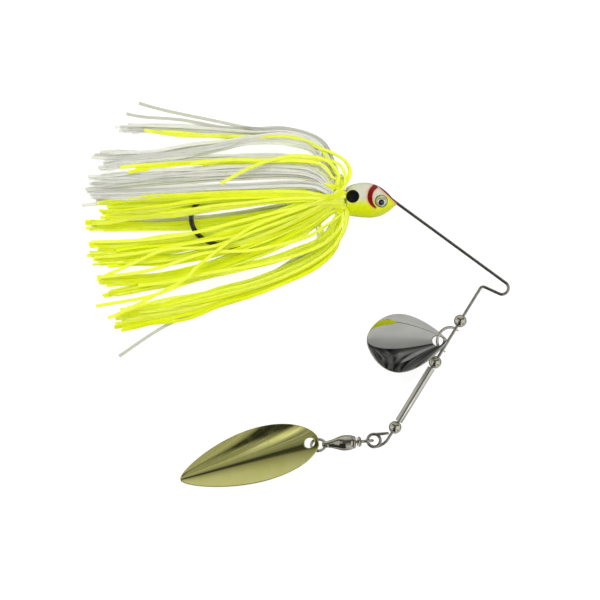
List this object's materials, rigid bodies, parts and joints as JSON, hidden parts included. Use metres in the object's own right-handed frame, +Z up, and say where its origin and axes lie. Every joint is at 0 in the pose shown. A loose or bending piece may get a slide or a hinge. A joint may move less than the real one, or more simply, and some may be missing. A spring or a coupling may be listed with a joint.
{
  "type": "spinnerbait",
  "caption": "Tandem spinnerbait fishing lure: painted head and fringed skirt over a hook, with a V-bent wire arm that carries a wide clevis blade and a long swivelling willow blade.",
  "frame": {"origin": "middle of the lure's outline, on the surface it lies on", "axes": "+Z up, away from the surface that the lure lies on; X along the length of the head and skirt, with +X towards the line tie"},
  "size_m": [0.134, 0.1222, 0.0149],
  "materials": {
    "wire": "drawn stainless wire",
    "hook": "black nickel plate",
    "head_paint": "glossy clear coat over pearl white and chartreuse paint",
    "eye_foil": "holographic foil",
    "eye_lens": "clear domed resin",
    "skirt_white": "translucent silicone, soft sheen",
    "skirt_chartreuse": "fluorescent silicone, soft sheen",
    "band": "matt rubber",
    "bead": "polished nickel plate",
    "clevis": "bright nickel plate",
    "nickel": "polished nickel plate",
    "tube": "satin nickel plate",
    "swivel": "tumbled nickel plate",
    "ring": "stainless wire",
    "gold": "polished pale gold plate"
  },
  "bodies": {
    "frame": {"wire_form": "wire", "head": "head_paint", "hook": "hook", "eye_foil_near": "eye_foil", "eye_lens_near": "eye_lens", "eye_foil_far": "eye_foil", "eye_lens_far": "eye_lens", "skirt_white": "skirt_white", "skirt_chartreuse": "skirt_chartreuse", "skirt_band": "band"},
    "upper_bead": {"bead_upper": "bead"},
    "clevis": {"clevis": "clevis"},
    "wide_blade": {"wide_blade": "nickel"},
    "middle_bead": {"bead_middle": "bead"},
    "tube": {"spacer_tube": "tube"},
    "lower_bead": {"bead_lower": "bead"},
    "swivel_shaft": {"swivel_shaft": "swivel"},
    "swivel_barrel": {"swivel_body": "swivel", "swivel_cap": "swivel", "swivel_balls": "swivel", "swivel_washer": "swivel"},
    "ring": {"blade_ring": "ring"},
    "long_blade": {"long_blade": "gold"}
  },
  "joints": [
    {"name": "upper_bead_spin", "type": "hinge", "parent": "frame", "child": "upper_bead", "pos_m": [0.05141, -0.00868, 0.007], "axis": [-0.5225, -0.8526, 0], "continuous": true},
    {"name": "clevis_spin", "type": "hinge", "parent": "frame", "child": "clevis", "pos_m": [0.0478, -0.01457, 0.007], "axis": [-0.5225, -0.8526, 0], "continuous": true},
    {"name": "wide_blade_swing", "type": "hinge", "parent": "clevis", "child": "wide_blade", "pos_m": [0.0478, -0.01457, 0.007], "axis": [0.4003, -0.2453, 0.8829], "range_deg": [-62, 3]},
    {"name": "middle_bead_spin", "type": "hinge", "parent": "frame", "child": "middle_bead", "pos_m": [0.04347, -0.02164, 0.007], "axis": [-0.5225, -0.8526, 0], "continuous": true},
    {"name": "tube_spin", "type": "hinge", "parent": "frame", "child": "tube", "pos_m": [0.03717, -0.03192, 0.007], "axis": [-0.5225, -0.8526, 0], "continuous": true},
    {"name": "lower_bead_spin", "type": "hinge", "parent": "frame", "child": "lower_bead", "pos_m": [0.03087, -0.04219, 0.007], "axis": [-0.5225, -0.8526, 0], "continuous": true},
    {"name": "swivel_swing", "type": "hinge", "parent": "frame", "child": "swivel_shaft", "pos_m": [0.0242, -0.0463, 0.00773], "axis": [0, 0, 1], "range_deg": [-30, 55]},
    {"name": "swivel_spin", "type": "hinge", "parent": "swivel_shaft", "child": "swivel_barrel", "pos_m": [0.01692, -0.0469, 0.00773], "axis": [-0.9966, -0.0819, 0], "continuous": true},
    {"name": "ring_swing", "type": "hinge", "parent": "swivel_barrel", "child": "ring", "pos_m": [0.00885, -0.04756, 0.00773], "axis": [0.0663, -0.8063, 0.5878], "range_deg": [-60, 60]},
    {"name": "long_blade_swing", "type": "hinge", "parent": "ring", "child": "long_blade", "pos_m": [0.00666, -0.04774, 0.00773], "axis": [-0.0482, 0.5858, 0.809], "range_deg": [-50, 50]}
  ]
}
